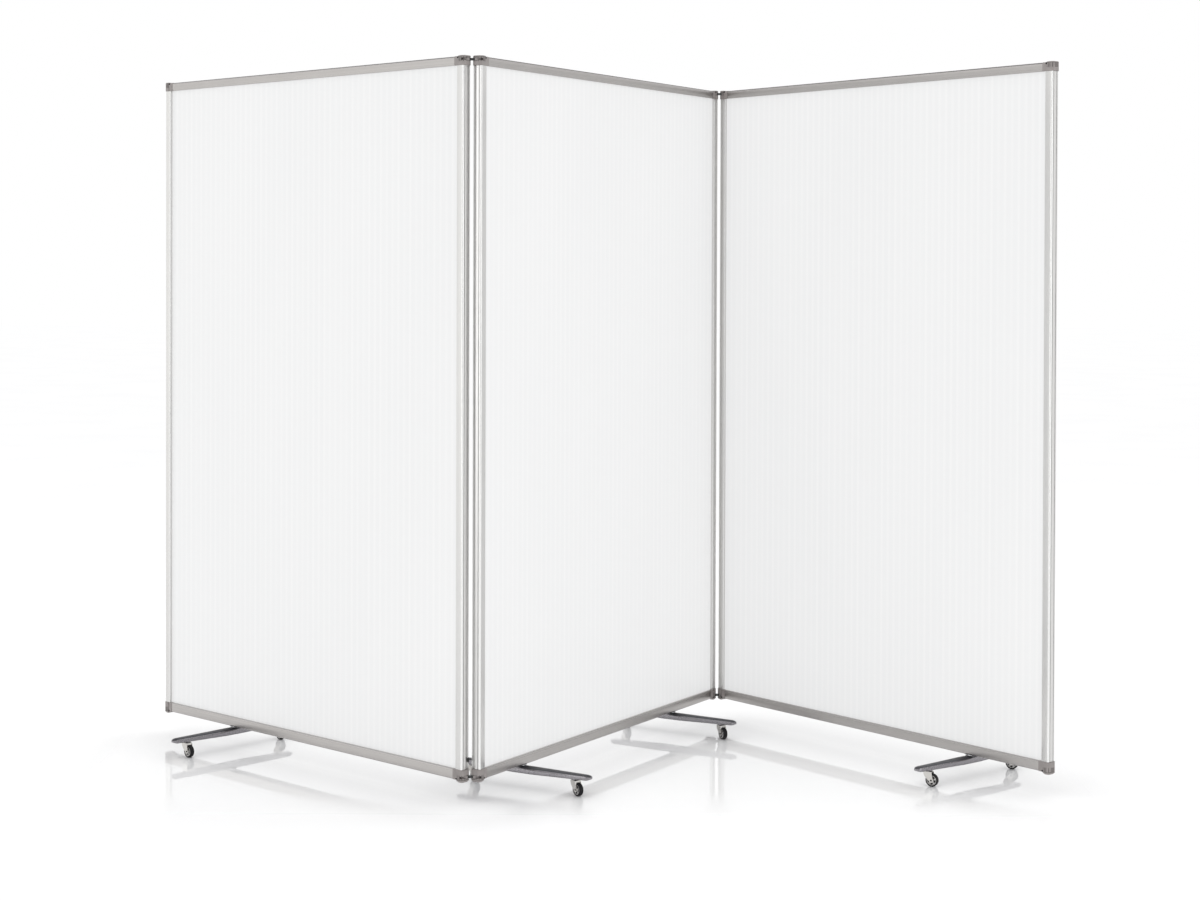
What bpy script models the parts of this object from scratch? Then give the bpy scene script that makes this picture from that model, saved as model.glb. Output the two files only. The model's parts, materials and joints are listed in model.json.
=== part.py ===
"""Three-panel folding room divider on swivel casters.

Three fluted twin-wall sheets sit in aluminium frames closed by plastic corner
caps. Neighbouring panels are joined, top and bottom, by double-pivot link
plates. Each frame is carried by cross legs with two swivel casters each.

Panel coordinates: x runs along a panel from its left end plane, y is its
depth (the back face is +y) and z is the height above the floor.
"""

import math

import bmesh
import bpy
from mathutils import Matrix, Vector
from mathutils.geometry import tessellate_polygon

MM = 0.001

# ---- driving dimensions -------------------------------------------------
PANEL_W = 1220 * MM  # 48 in panel, over the stiles
RAIL_BOTTOM = 61 * MM  # underside of the bottom rail above the floor
RAIL_TOP = 1829 * MM  # top of the top rail, 72 in above the floor
FRAME_DEPTH = 25.4 * MM
FACE = 22 * MM  # visible face of a stile and of the top rail
FACE_BOTTOM = 26 * MM  # visible face of the bottom rail
FRAME_CORNER_R = 3 * MM
SHEET_GROOVE_W = 10.6 * MM
SHEET_GROOVE_DEPTH = 9 * MM
OUTER_GROOVE_W = 4 * MM
OUTER_GROOVE_DEPTH = 1 * MM
CAVITY_FROM_OUTER = 2.6 * MM
CAVITY_WALL_SIDE = 1.8 * MM
CAVITY_WALL_GROOVE = 1.6 * MM
GAP = 0.3 * MM  # clearance between touching pieces

SHEET_T = 10 * MM
SHEET_INSERT = 8.5 * MM  # how far the sheet enters its groove
SHEET_SKIN = 0.8 * MM
SHEET_RIB = 0.6 * MM
FLUTES = 53  # flutes across the visible opening

CAP_LENGTH = 38 * MM  # cap along the rail, from the end plane
CAP_PROUD = 0.6 * MM  # cap stands this much proud of the extrusion
KNUCKLE_REACH = 3 * MM  # knuckle beyond the end plane
KNUCKLE_HALF_DEPTH = 14.3 * MM
KNUCKLE_R = 8 * MM
KNUCKLE_LENGTH = 16 * MM
KNUCKLE_RISE = 2 * MM  # knuckle past the rail's outer face
TONGUE_LENGTH = 12 * MM
NOTCH_AT = 3.5 * MM  # notch in each corner of the knuckle, from the end plane
NOTCH_LONG = 3 * MM
NOTCH_DEEP = 4 * MM
NOTCH_HIGH = 5.5 * MM
NOTCH_HIGH_HINGED = 3.2 * MM  # lower where the link slot passes behind it

PIVOT_INSET = 8 * MM  # hinge pivot from the end plane
PIVOT_SPACING = 35.5 * MM  # between a link's two pivots
LINK_T = 5.5 * MM
LINK_R = 7 * MM
LINK_FROM_OUTER = 7.2 * MM  # link's middle plane from the rail's outer face
LINK_SLOT_CLEAR = 0.45 * MM
LINK_SLOT_BEHIND = 7.8 * MM  # slot behind the pivot
PIN_R = 3.0 * MM
PIN_BORE_R = 3.4 * MM
PIN_HALF = 6.8 * MM  # pin above and below the link's middle plane

LEG_HALF = 203 * MM  # 16 in leg, tip to tip 406
LEG_TOP = 56 * MM
LEG_BOTTOM_END = 41.5 * MM
LEG_BOTTOM_MID = 38 * MM
LEG_W_MID = 30 * MM
LEG_W_END = 21 * MM
STEM_AT = 155 * MM  # caster stem from the panel's middle plane
STEM_BORE_R = 4.5 * MM
STEM_BORE_TOP = 51 * MM
BOSS_R = 11 * MM
BOSS_BOTTOM = 38.6 * MM
BOLT_R = 3 * MM
BOLT_BORE_R = 3.4 * MM
BOLT_HEAD_R = 5.5 * MM
BOLT_RECESS_R = 6.5 * MM
SPACER_R = 8.5 * MM
LEG_LEFT = 297 * MM  # leg centre from the left end of its panel
LEG_MIDDLE = (214 * MM, 985 * MM)
LEG_RIGHT = 950 * MM

WHEEL_R = 16.5 * MM
WHEEL_W = 12.6 * MM
WHEEL_SIDES = 24
WHEEL_BORE_R = 3.0 * MM
AXLE_R = 2.5 * MM
TRAIL = 11 * MM
STEM_R = 4 * MM
CHEEK_T = 1.8 * MM
CHEEK_IN = 7.0 * MM
CROWN_BOTTOM = 35.6 * MM
CROWN_TOP = 38.2 * MM

# ---- pose ---------------------------------------------------------------
YAW_MIDDLE = math.radians(58.8)
FOLD_LEFT = math.radians(102.0)  # fold between left and middle panel, 0 = flat
FOLD_RIGHT = math.radians(109.6)
# heading of each leg's casters, from the stem to the wheel, in plan
TRAIL_HEADING = {
    "left_leg": math.radians(-44),
    "middle_leg_left": math.radians(-54),
    "middle_leg_right": math.radians(-63),
    "right_leg": math.radians(-28),
}

AXLE_HEIGHT = WHEEL_R * math.cos(math.pi / WHEEL_SIDES)  # a wheel stands on a flat


# ---- scene --------------------------------------------------------------
for old in list(bpy.data.objects):
    bpy.data.objects.remove(old)

scene = bpy.context.scene


def material(name, colour, roughness, metallic=0.0, alpha=1.0):
    mat = bpy.data.materials.new(name)
    mat.use_nodes = True
    shader = mat.node_tree.nodes["Principled BSDF"]
    shader.inputs["Base Color"].default_value = (*colour, 1.0)
    shader.inputs["Roughness"].default_value = roughness
    shader.inputs["Metallic"].default_value = metallic
    shader.inputs["Alpha"].default_value = alpha
    mat.diffuse_color = (*colour, alpha)
    return mat


FINISH = {
    "frame": material("frame_aluminium", (0.60, 0.58, 0.55), 0.35, 0.9),
    "sheet": material("sheet_opal", (0.87, 0.87, 0.87), 0.45, 0.0, 0.9),
    "cap": material("cap_grey_plastic", (0.22, 0.21, 0.20), 0.5),
    "link": material("link_black", (0.02, 0.02, 0.02), 0.5),
    "leg": material("leg_grey_plastic", (0.10, 0.10, 0.11), 0.45),
    "steel": material("zinc_steel", (0.55, 0.55, 0.55), 0.4, 0.9),
    "chrome": material("caster_chrome", (0.72, 0.72, 0.72), 0.15, 1.0),
    "wheel": material("caster_wheel", (0.03, 0.03, 0.03), 0.6),
    "bumper": material("bumper_rubber", (0.02, 0.02, 0.02), 0.8),
}


def mesh_from(bm, name):
    """A mesh that faces outward, from a closed bmesh."""
    bmesh.ops.recalc_face_normals(bm, faces=bm.faces)
    if bm.calc_volume(signed=True) < 0:
        bmesh.ops.reverse_faces(bm, faces=bm.faces)
    mesh = bpy.data.meshes.new(name)
    bm.to_mesh(mesh)
    bm.free()
    return mesh


def place(name, mesh, finish, parent, location=(0, 0, 0), turn=0.0):
    obj = bpy.data.objects.new(name, mesh)
    scene.collection.objects.link(obj)
    if not mesh.materials:
        mesh.materials.append(FINISH[finish])
    obj.parent = parent
    obj.location = location
    obj.rotation_euler = (0, 0, turn)
    return obj


def pivot_empty(name, location, turn=0.0, parent=None):
    empty = bpy.data.objects.new(name, None)
    empty.empty_display_size = 0.05
    scene.collection.objects.link(empty)
    empty.parent = parent
    empty.location = location
    empty.rotation_euler = (0, 0, turn)
    return empty


# ---- shapes -------------------------------------------------------------
def arc(cx, cy, r, start, end, steps):
    """Points along an arc, in degrees."""
    return [
        (
            cx + r * math.cos(math.radians(start + (end - start) * i / steps)),
            cy + r * math.sin(math.radians(start + (end - start) * i / steps)),
        )
        for i in range(steps + 1)
    ]


def circle(cx, cy, r, sides, phase=0.0):
    return [
        (
            cx + r * math.cos(phase + 2 * math.pi * i / sides),
            cy + r * math.sin(phase + 2 * math.pi * i / sides),
        )
        for i in range(sides)
    ]


def prism(loops, low, high, to_xyz=lambda a, b, c: (a, b, c)):
    """A bmesh of a flat outline (and its holes) drawn out from low to high."""
    bm = bmesh.new()
    flat = [p for loop in loops for p in loop]
    lower = [bm.verts.new(to_xyz(a, b, low)) for a, b in flat]
    upper = [bm.verts.new(to_xyz(a, b, high)) for a, b in flat]
    start = 0
    for loop in loops:
        n = len(loop)
        for i in range(n):
            j = (i + 1) % n
            bm.faces.new(
                (lower[start + i], lower[start + j], upper[start + j], upper[start + i])
            )
        start += n
    if len(loops) == 1 and len(flat) == 4:
        bm.faces.new(lower[::-1])
        bm.faces.new(upper)
    else:
        outline = [[Vector((a, b, 0)) for a, b in loop] for loop in loops]
        for tri in tessellate_polygon(outline):
            bm.faces.new([lower[k] for k in tri])
            bm.faces.new([upper[k] for k in reversed(tri)])
    return bm


def box(x0, x1, y0, y1, z0, z1):
    return prism([[(x0, y0), (x1, y0), (x1, y1), (x0, y1)]], z0, z1)


def along_x(a, b, c):
    """Outline in (y, z), drawn out along x."""
    return (c, a, b)


def along_y(a, b, c):
    """Outline in (x, z), drawn out along y."""
    return (a, c, b)


def combined(name, base, steps):
    """The mesh left after a list of (operation, bmesh) Booleans on a base."""
    made = bpy.data.objects.new(name, mesh_from(base, name))
    scene.collection.objects.link(made)
    helpers = []
    for i, (operation, tool) in enumerate(steps):
        helper = bpy.data.objects.new(
            f"{name}_tool_{i}", mesh_from(tool, f"{name}_tool_{i}")
        )
        scene.collection.objects.link(helper)
        helper.hide_render = True
        helper.display_type = "WIRE"
        helpers.append(helper)
        modifier = made.modifiers.new(f"{operation.lower()}_{i}", "BOOLEAN")
        modifier.operation = operation
        modifier.object = helper
        modifier.solver = "EXACT"
    bpy.context.view_layer.update()
    graph = bpy.context.evaluated_depsgraph_get()
    mesh = bpy.data.meshes.new_from_object(made.evaluated_get(graph))
    mesh.name = name
    for helper in helpers + [made]:
        bpy.data.objects.remove(helper)
    return mesh


def smooth(mesh, degrees=32):
    mesh.shade_smooth()
    mesh.set_sharp_from_angle(angle=math.radians(degrees))
    return mesh


def frame_profile(face):
    """Extrusion outline in (u, v): u from the outer side inward, v the depth."""
    h = FRAME_DEPTH / 2
    r = FRAME_CORNER_R
    c = 1 * MM
    g = SHEET_GROOVE_W / 2
    o = OUTER_GROOVE_W / 2
    outer = [(0, -o)]
    outer += arc(r, -h + r, r, 180, 270, 4)
    outer += [(face - c, -h), (face, -h + c)]
    outer += [(face, -g), (face - SHEET_GROOVE_DEPTH, -g)]
    outer += [(face - SHEET_GROOVE_DEPTH, g), (face, g)]
    outer += [(face, h - c), (face - c, h)]
    outer += arc(r, h - r, r, 90, 180, 4)
    outer += [(0, o), (OUTER_GROOVE_DEPTH, o), (OUTER_GROOVE_DEPTH, -o)]
    u0 = CAVITY_FROM_OUTER
    u1 = face - SHEET_GROOVE_DEPTH - CAVITY_WALL_GROOVE
    v = h - CAVITY_WALL_SIDE
    cavity = [(u0, -v), (u1, -v), (u1, v), (u0, v)]
    return [outer, cavity]


def cavity_of(face):
    return (
        CAVITY_FROM_OUTER,
        face - SHEET_GROOVE_DEPTH - CAVITY_WALL_GROOVE,
        FRAME_DEPTH / 2 - CAVITY_WALL_SIDE,
    )


def sheet_mesh(width, height):
    """A twin-wall sheet with open vertical flutes, centred on x, standing on z = 0."""
    t = SHEET_T / 2
    inner = t - SHEET_SKIN
    pitch = (PANEL_W - 2 * FACE) / FLUTES
    ribs = [(i - FLUTES / 2) * pitch for i in range(FLUTES + 1)]
    stations = [-width / 2, -width / 2 + SHEET_SKIN]
    for rib in ribs:
        stations += [rib - SHEET_RIB / 2, rib + SHEET_RIB / 2]
    stations += [width / 2 - SHEET_SKIN, width / 2]
    levels = [-t, -inner, inner, t]
    bm = bmesh.new()
    grid = {
        (i, j, k): bm.verts.new((x, y, z))
        for i, x in enumerate(stations)
        for j, y in enumerate(levels)
        for k, z in enumerate((0.0, height))
    }
    last = len(stations) - 1
    for i in range(last):
        solid = i % 2 == 0
        for k in (0, 1):
            for j in (0, 1, 2):
                if j == 1 and not solid:
                    continue
                bm.faces.new(
                    (
                        grid[i, j, k],
                        grid[i + 1, j, k],
                        grid[i + 1, j + 1, k],
                        grid[i, j + 1, k],
                    )
                )
        for j in (0, 3) if solid else (0, 1, 2, 3):
            bm.faces.new(
                (grid[i, j, 0], grid[i + 1, j, 0], grid[i + 1, j, 1], grid[i, j, 1])
            )
    for i in range(1, last):
        bm.faces.new((grid[i, 1, 0], grid[i, 2, 0], grid[i, 2, 1], grid[i, 1, 1]))
    for i in (0, last):
        for j in (0, 1, 2):
            bm.faces.new(
                (grid[i, j, 0], grid[i, j + 1, 0], grid[i, j + 1, 1], grid[i, j, 1])
            )
    return mesh_from(bm, "sheet")


def cap_mesh(name, face, up, hinged):
    """A corner cap at the left end: x inward from the end plane, z = up * u.

    u runs from the rail's outer face towards the middle of the panel.
    """
    d = FRAME_DEPTH / 2 + CAP_PROUD
    r = FRAME_CORNER_R + CAP_PROUD
    # section in (u, y): square towards the sheet, rounded on the outer side
    section = [(face, -d), (face, d)]
    section += arc(r - CAP_PROUD, d - r, r, 90, 180, 2)
    section += arc(r - CAP_PROUD, r - d, r, 180, 270, 2)
    block = prism([[(y, up * u) for u, y in section]], 4 * MM, CAP_LENGTH, along_x)

    k, n, reach = KNUCKLE_HALF_DEPTH, KNUCKLE_R, KNUCKLE_REACH
    plan = [(KNUCKLE_LENGTH, k)]
    plan += arc(n - reach, k - n, n, 90, 180, 4)
    plan += arc(n - reach, n - k, n, 180, 270, 4)
    plan += [(KNUCKLE_LENGTH, -k)]
    z0, z1 = sorted((up * (face - 0.02 * MM), -up * KNUCKLE_RISE))
    knuckle = prism([plan], z0, z1)

    u0, u1, v = cavity_of(face)
    clear = 0.4 * MM
    z0, z1 = sorted((up * (u0 + clear), up * (u1 - clear)))
    rail_tongue = box(
        CAP_LENGTH - 4 * MM, CAP_LENGTH + TONGUE_LENGTH, clear - v, v - clear, z0, z1
    )
    s0, s1, v = cavity_of(FACE)
    z0, z1 = sorted((up * (face - 3 * MM), up * (face + TONGUE_LENGTH)))
    stile_tongue = box(s0 + clear, s1 - clear, clear - v, v - clear, z0, z1)

    steps = [("UNION", knuckle), ("UNION", rail_tongue), ("UNION", stile_tongue)]

    g = SHEET_GROOVE_W / 2
    z0, z1 = sorted((up * (face - SHEET_GROOVE_DEPTH), up * (face + 1 * MM)))
    steps.append(
        ("DIFFERENCE", box(FACE - SHEET_GROOVE_DEPTH, CAP_LENGTH + 1 * MM, -g, g, z0, z1))
    )
    z0, z1 = sorted((-up * 5 * MM, up * (NOTCH_HIGH_HINGED if hinged else NOTCH_HIGH)))
    for side in (-1, 1):
        y0, y1 = sorted((side * (KNUCKLE_HALF_DEPTH - NOTCH_DEEP), side * 20 * MM))
        notch = box(NOTCH_AT, NOTCH_AT + NOTCH_LONG, y0, y1, z0, z1)
        steps.append(("DIFFERENCE", notch))
    if hinged:
        half = LINK_T / 2 + LINK_SLOT_CLEAR
        z0, z1 = sorted((up * (LINK_FROM_OUTER - half), up * (LINK_FROM_OUTER + half)))
        steps.append(
            (
                "DIFFERENCE",
                box(-10 * MM, PIVOT_INSET + LINK_SLOT_BEHIND, -20 * MM, 20 * MM, z0, z1),
            )
        )
        reach = PIN_HALF + 0.5 * MM
        z0, z1 = sorted(
            (up * (LINK_FROM_OUTER - reach), up * (LINK_FROM_OUTER + reach))
        )
        bore = prism([circle(PIVOT_INSET, 0, PIN_BORE_R, 16)], z0, z1)
        steps.append(("DIFFERENCE", bore))
    return smooth(combined(name, block, steps))


def link_mesh():
    """A link plate with a pin at each end: one pivot at the origin, one at +x."""
    r, s, t = LINK_R, PIVOT_SPACING, LINK_T / 2
    plan = arc(0, 0, r, 90, 270, 8) + arc(s, 0, r, -90, 90, 8)
    plate = prism([plan], -t, t)
    pins = [
        ("UNION", prism([circle(x, 0, PIN_R, 12)], -PIN_HALF, PIN_HALF)) for x in (0, s)
    ]
    return smooth(combined("hinge_link", plate, pins))


def rail_mesh(name, face, up, bolt_places=()):
    """A rail between the caps, x from 0, z = up * u from its outer face."""
    loops = [[(v, up * u) for u, v in loop] for loop in frame_profile(face)]
    length = PANEL_W - 2 * (CAP_LENGTH + GAP)
    body = prism(loops, 0, length, along_x)
    holes = [
        (
            "DIFFERENCE",
            prism(
                [circle(x - CAP_LENGTH - GAP, 0, BOLT_BORE_R, 16)],
                -2 * MM,
                CAVITY_FROM_OUTER + 2 * MM,
            ),
        )
        for x in bolt_places
    ]
    return smooth(combined(name, body, holes))


def leg_mesh():
    """A cross leg along y about its bolt axis, z above the floor."""
    stations = []
    taper_start, taper_end = 30 * MM, 188 * MM
    for y in (0, 30, 75, 120, 160, 188, 196, 201, 203):
        y = y * MM
        t = min(1.0, max(0.0, (y - taper_start) / (taper_end - taper_start)))
        half = (LEG_W_MID + (LEG_W_END - LEG_W_MID) * t) / 2
        low = LEG_BOTTOM_MID + (LEG_BOTTOM_END - LEG_BOTTOM_MID) * t
        high = LEG_TOP - 1 * MM * t
        if y > taper_end:
            # round nose in plan, and a softer one in height
            k = (y - taper_end) / (LEG_HALF - taper_end)
            half *= max(0.18, math.sqrt(max(0.0, 1 - k * k)))
            low += 4.0 * MM * k * k
            high -= 3.0 * MM * k * k
        stations.append((y, half, low, high))
    stations = [(-y, h, a, b) for y, h, a, b in stations[:0:-1]] + stations
    bm = bmesh.new()
    rings = []
    for y, half, low, high in stations:
        c = min(3.0 * MM, half * 0.6, (high - low) * 0.3)
        points = [
            (half - c, low),
            (half, low + c),
            (half, high - c),
            (half - c, high),
            (c - half, high),
            (-half, high - c),
            (-half, low + c),
            (c - half, low),
        ]
        rings.append([bm.verts.new((x, y, z)) for x, z in points])
    for a, b in zip(rings, rings[1:]):
        for i in range(8):
            j = (i + 1) % 8
            bm.faces.new((a[i], a[j], b[j], b[i]))
    bm.faces.new(rings[0])
    bm.faces.new(rings[-1][::-1])
    steps = []
    for side in (-1, 1):
        steps.append(
            (
                "UNION",
                prism([circle(0, side * STEM_AT, BOSS_R, 20)], BOSS_BOTTOM, 46 * MM),
            )
        )
    for side in (-1, 1):
        steps.append(
            (
                "DIFFERENCE",
                prism(
                    [circle(0, side * STEM_AT, STEM_BORE_R, 16)], 30 * MM, STEM_BORE_TOP
                ),
            )
        )
    steps.append(
        ("DIFFERENCE", prism([circle(0, 0, BOLT_BORE_R, 16)], 30 * MM, 70 * MM))
    )
    steps.append(
        ("DIFFERENCE", prism([circle(0, 0, BOLT_RECESS_R, 16)], 30 * MM, 44 * MM))
    )
    return smooth(combined("leg", bm, steps), 40)


def spacer_mesh():
    """The round spacer between leg and rail."""
    ring = [circle(0, 0, SPACER_R, 20), circle(0, 0, BOLT_BORE_R, 16)[::-1]]
    return smooth(
        mesh_from(prism(ring, LEG_TOP + GAP, RAIL_BOTTOM - GAP), "leg_spacer")
    )


def bolt_mesh():
    """The bolt that holds leg and spacer to the rail."""
    head = prism([circle(0, 0, BOLT_HEAD_R, 16)], 39.7 * MM, 43.7 * MM)
    shank = prism([circle(0, 0, BOLT_R, 12)], 42 * MM, RAIL_BOTTOM + 9 * MM)
    return smooth(combined("leg_bolt", head, [("UNION", shank)]))


def fork_mesh():
    """Caster fork: stem on the z axis, wheel axle at +x by the trail, along y."""
    out = CHEEK_IN + CHEEK_T
    plan = arc(-3.5 * MM, 2 * MM, out - 2 * MM, 90, 180, 3)
    plan += arc(-3.5 * MM, -2 * MM, out - 2 * MM, 180, 270, 3)
    plan += [(11.5 * MM, -out), (11.5 * MM, out)]
    crown = prism([plan], CROWN_BOTTOM, CROWN_TOP)
    side = [(-9.5 * MM, CROWN_TOP - 0.4 * MM), (-9.0 * MM, 31 * MM)]
    side += arc(TRAIL, AXLE_HEIGHT, 6 * MM, 205, 345, 6)
    side += [(11.5 * MM + 1.5 * MM, 31 * MM), (11.4 * MM, CROWN_TOP - 0.4 * MM)]
    steps = []
    for y0, y1 in ((-out, -CHEEK_IN), (CHEEK_IN, out)):
        steps.append(("UNION", prism([side], y0, y1, along_y)))
    steps.append(
        (
            "UNION",
            prism(
                [circle(TRAIL, AXLE_HEIGHT, AXLE_R, 12)],
                -out - 1.2 * MM,
                out + 1.2 * MM,
                along_y,
            ),
        )
    )
    steps.append(
        ("UNION", prism([circle(0, 0, STEM_R, 12)], CROWN_TOP - 1 * MM, 50 * MM))
    )
    return smooth(combined("caster_fork", crown, steps))


def wheel_mesh():
    """A caster wheel turned about y, with its axle bore."""
    w = WHEEL_W / 2
    profile = [
        (WHEEL_BORE_R, -w),
        (WHEEL_R - 1.5 * MM, -w),
        (WHEEL_R, -w + 1.6 * MM),
        (WHEEL_R, w - 1.6 * MM),
        (WHEEL_R - 1.5 * MM, w),
        (WHEEL_BORE_R, w),
    ]
    bm = bmesh.new()
    rings = []
    for i in range(WHEEL_SIDES):
        a = 2 * math.pi * (i + 0.5) / WHEEL_SIDES - math.pi / 2
        rings.append(
            [bm.verts.new((r * math.cos(a), y, r * math.sin(a))) for r, y in profile]
        )
    for i in range(WHEEL_SIDES):
        a, b = rings[i], rings[(i + 1) % WHEEL_SIDES]
        for j in range(len(profile)):
            k = (j + 1) % len(profile)
            bm.faces.new((a[j], a[k], b[k], b[j]))
    return smooth(mesh_from(bm, "caster_wheel"))


# ---- meshes shared by repeated pieces -----------------------------------
SHEET_W = PANEL_W - 2 * FACE + 2 * SHEET_INSERT
SHEET_H = RAIL_TOP - FACE - RAIL_BOTTOM - FACE_BOTTOM + 2 * SHEET_INSERT
SHEET = sheet_mesh(SHEET_W, SHEET_H)
STILE = smooth(
    mesh_from(
        prism(
            frame_profile(FACE),
            0,
            RAIL_TOP - FACE - RAIL_BOTTOM - FACE_BOTTOM - 2 * GAP,
        ),
        "stile",
    )
)
TOP_RAIL = rail_mesh("top_rail", FACE, -1)
CAPS = {
    ("top", True): cap_mesh("cap_top_hinged", FACE, -1, True),
    ("top", False): cap_mesh("cap_top_plain", FACE, -1, False),
    ("bottom", True): cap_mesh("cap_bottom_hinged", FACE_BOTTOM, 1, True),
    ("bottom", False): cap_mesh("cap_bottom_plain", FACE_BOTTOM, 1, False),
}
LINK = link_mesh()
LEG = leg_mesh()
SPACER = spacer_mesh()
BOLT = bolt_mesh()
FORK = fork_mesh()
WHEEL = wheel_mesh()


# ---- assembly -----------------------------------------------------------
def build_panel(prefix, empty, pivot_x, hinged_ends, legs):
    """A panel under its empty, whose origin is at x = pivot_x of the panel."""

    def at(x, y, z):
        return (x - pivot_x, y, z)

    place(
        f"{prefix}_sheet",
        SHEET,
        "sheet",
        empty,
        at(PANEL_W / 2, 0, RAIL_BOTTOM + FACE_BOTTOM - SHEET_INSERT),
    )
    z = RAIL_BOTTOM + FACE_BOTTOM + GAP
    place(f"{prefix}_left_stile", STILE, "frame", empty, at(0, 0, z))
    place(f"{prefix}_right_stile", STILE, "frame", empty, at(PANEL_W, 0, z), math.pi)
    rail_x = CAP_LENGTH + GAP
    place(f"{prefix}_top_rail", TOP_RAIL, "frame", empty, at(rail_x, 0, RAIL_TOP))
    bottom = rail_mesh(
        f"{prefix}_bottom_rail", FACE_BOTTOM, 1, [x for _, x in legs]
    )
    place(f"{prefix}_bottom_rail", bottom, "frame", empty, at(rail_x, 0, RAIL_BOTTOM))
    for end, x, turn in (("left", 0, 0.0), ("right", PANEL_W, math.pi)):
        for level, height in (("top", RAIL_TOP), ("bottom", RAIL_BOTTOM)):
            mesh = CAPS[level, end in hinged_ends]
            place(
                f"{prefix}_cap_{level}_{end}", mesh, "cap", empty, at(x, 0, height), turn
            )
    for name, x in legs:
        place(name, LEG, "leg", empty, at(x, 0, 0))
        place(f"{name}_spacer", SPACER, "steel", empty, at(x, 0, 0))
        place(f"{name}_bolt", BOLT, "steel", empty, at(x, 0, 0))
        for row, side in (("front", -1), ("back", 1)):
            heading = TRAIL_HEADING[name] - YAW[prefix]
            fork = place(
                f"{name}_{row}_fork",
                FORK,
                "chrome",
                empty,
                at(x, side * STEM_AT, 0),
                heading,
            )
            place(f"{name}_{row}_wheel", WHEEL, "wheel", fork, (TRAIL, 0, AXLE_HEIGHT))


YAW = {
    "middle_panel": YAW_MIDDLE,
    "left_panel": YAW_MIDDLE - FOLD_LEFT,
    "right_panel": YAW_MIDDLE - FOLD_RIGHT,
}


def heading_vector(angle):
    return Vector((math.cos(angle), math.sin(angle), 0))


root = pivot_empty("divider_origin", (0, 0, 0))
middle = pivot_empty("middle_panel_origin", (0, 0, 0), YAW_MIDDLE, root)
build_panel(
    "middle_panel",
    middle,
    0,
    ("left", "right"),
    [("middle_leg_left", LEG_MIDDLE[0]), ("middle_leg_right", LEG_MIDDLE[1])],
)

# left hinge: link from the middle panel's left pivot to the left panel's right pivot
link_yaw = YAW_MIDDLE - FOLD_LEFT / 2
inner = heading_vector(YAW_MIDDLE) * PIVOT_INSET
outer = inner - heading_vector(link_yaw) * PIVOT_SPACING
left_hinge = pivot_empty("left_hinge_axis", inner, link_yaw + math.pi, root)
left = pivot_empty("left_panel_axis", outer, YAW["left_panel"], root)
build_panel(
    "left_panel", left, PANEL_W - PIVOT_INSET, ("right",), [("left_leg", LEG_LEFT)]
)

# right hinge
link_yaw = YAW_MIDDLE - FOLD_RIGHT / 2
inner = heading_vector(YAW_MIDDLE) * (PANEL_W - PIVOT_INSET)
outer = inner + heading_vector(link_yaw) * PIVOT_SPACING
right_hinge = pivot_empty("right_hinge_axis", inner, link_yaw, root)
right = pivot_empty("right_panel_axis", outer, YAW["right_panel"], root)
build_panel(
    "right_panel", right, PIVOT_INSET, ("left",), [("right_leg", LEG_RIGHT)]
)

for side, empty in (("left", left_hinge), ("right", right_hinge)):
    for level, height in (
        ("top", RAIL_TOP - LINK_FROM_OUTER),
        ("bottom", RAIL_BOTTOM + LINK_FROM_OUTER),
    ):
        place(f"{side}_hinge_{level}_link", LINK, "link", empty, (0, 0, height))

# rubber bumper low on the left panel's hinge stile, near its back edge
pad = box(0.3 * MM, 3.3 * MM, 5 * MM, 11 * MM, 104 * MM, 116 * MM)
bmesh.ops.bevel(
    pad,
    geom=[e for e in pad.edges if all(v.co.x > 3 * MM for v in e.verts)],
    offset=0.8 * MM,
    segments=1,
    affect="EDGES",
)
place(
    "hinge_bumper",
    mesh_from(pad, "hinge_bumper"),
    "bumper",
    left,
    (PIVOT_INSET, 0, 0),
)

# ---- origin at the bottom centre of the whole object's box ----------------
bpy.context.view_layer.update()
low = Vector((1e9, 1e9, 1e9))
high = -low
for obj in scene.objects:
    if obj.type != "MESH":
        continue
    for vertex in obj.data.vertices:
        point = obj.matrix_world @ vertex.co
        low = Vector(map(min, low, point))
        high = Vector(map(max, high, point))
root.location = (-(low.x + high.x) / 2, -(low.y + high.y) / 2, -low.z)
bpy.context.view_layer.update()
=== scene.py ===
"""Looks of the three-panel folding room divider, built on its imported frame.

Each piece is modelled in the coordinates of its own panel (x along the panel
from its left end plane, y its depth with the back at +y, z up) and stands for
the CAD node of the same name. Metres throughout.
"""

import json
import math

import bmesh
import bpy
from mathutils import Matrix, Vector
from mathutils.geometry import tessellate_polygon

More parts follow.
